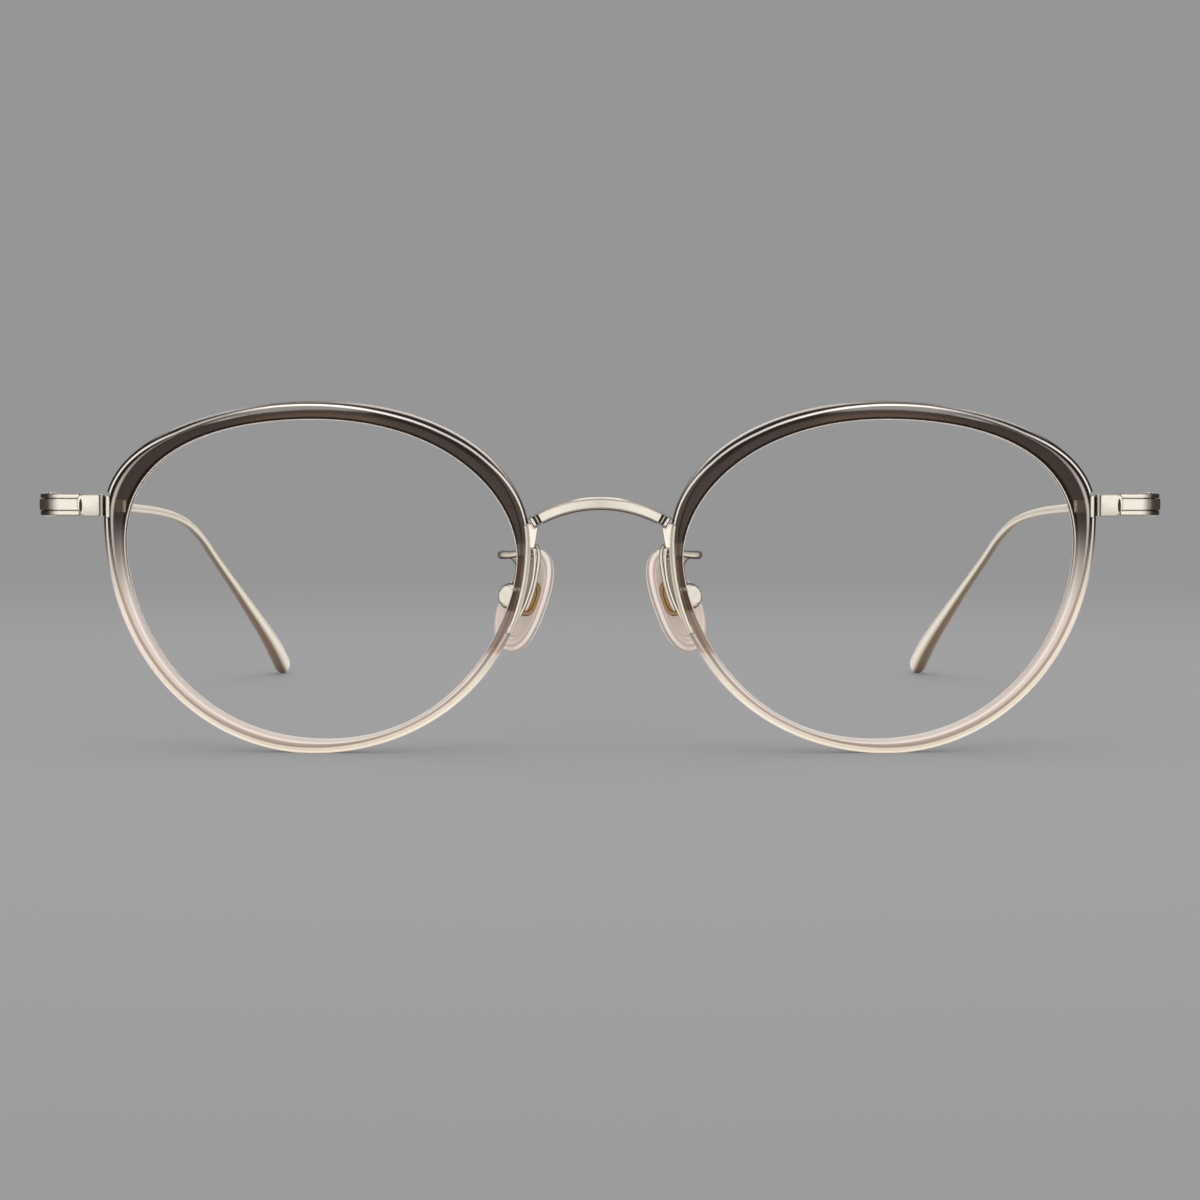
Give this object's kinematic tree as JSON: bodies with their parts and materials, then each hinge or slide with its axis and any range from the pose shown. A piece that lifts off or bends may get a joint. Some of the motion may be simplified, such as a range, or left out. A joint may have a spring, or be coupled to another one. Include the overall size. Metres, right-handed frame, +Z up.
{
  "type": "eyeglasses",
  "caption": "Rounded spectacles with gradient plastic rims, clear lenses, an arched metal bridge, sprung nose pads and folding wire temples.",
  "frame": {"origin": "on the table under the middle of the open glasses, halfway between the bridge's face and the ends of the temples, on the mirror plane", "axes": "+X to the right of someone facing the front, +Y from the front towards the ends of the temples, +Z up"},
  "size_m": [0.1424, 0.1402, 0.0444],
  "materials": {
    "rim_plastic": "polished translucent plastic, dark brown at the top fading to clear champagne at the foot",
    "lens_clear": "clear, coated",
    "frame_metal": "satin champagne titanium",
    "core_gold": "satin",
    "pad_silicone": "soft translucent silicone"
  },
  "bodies": {
    "front": {"bridge": "frame_metal", "rim_left": "rim_plastic", "rim_right": "rim_plastic", "lens_left": "lens_clear", "lens_right": "lens_clear", "nose_bracket_left": "frame_metal", "nose_bracket_right": "frame_metal", "bracket_pin_upper_left": "frame_metal", "bracket_pin_upper_right": "frame_metal", "bracket_pin_lower_left": "frame_metal", "bracket_pin_lower_right": "frame_metal", "pad_arm_left": "frame_metal", "pad_arm_right": "frame_metal", "pad_box_left": "frame_metal", "pad_box_right": "frame_metal", "pad_screw_left": "frame_metal", "pad_screw_right": "frame_metal", "end_lug_left": "frame_metal", "end_lug_right": "frame_metal", "endpiece_left": "frame_metal", "endpiece_right": "frame_metal", "hinge_screw_left": "frame_metal", "hinge_screw_right": "frame_metal"},
    "temple_left": {"temple_left": "frame_metal"},
    "temple_right": {"temple_right": "frame_metal"},
    "pad_left": {"nose_pad_left": "pad_silicone", "pad_core_left": "core_gold"},
    "pad_right": {"nose_pad_right": "pad_silicone", "pad_core_right": "core_gold"}
  },
  "joints": [
    {"name": "temple_left_fold", "type": "hinge", "parent": "front", "child": "temple_left", "pos_m": [-0.0699, -0.06313, 0.03128], "axis": [0, 0, -1], "range_deg": [0, 78]},
    {"name": "temple_right_fold", "type": "hinge", "parent": "front", "child": "temple_right", "pos_m": [0.0699, -0.06313, 0.03128], "axis": [0, 0, 1], "range_deg": [0, 70]},
    {"name": "pad_left_rock", "type": "hinge", "parent": "front", "child": "pad_left", "pos_m": [-0.0114, -0.06313, 0.0196], "axis": [-0.687, 0.687, 0.2366], "range_deg": [-8, 8]},
    {"name": "pad_right_rock", "type": "hinge", "parent": "front", "child": "pad_right", "pos_m": [0.0114, -0.06313, 0.0196], "axis": [-0.687, -0.687, -0.2366], "range_deg": [-8, 8]}
  ]
}
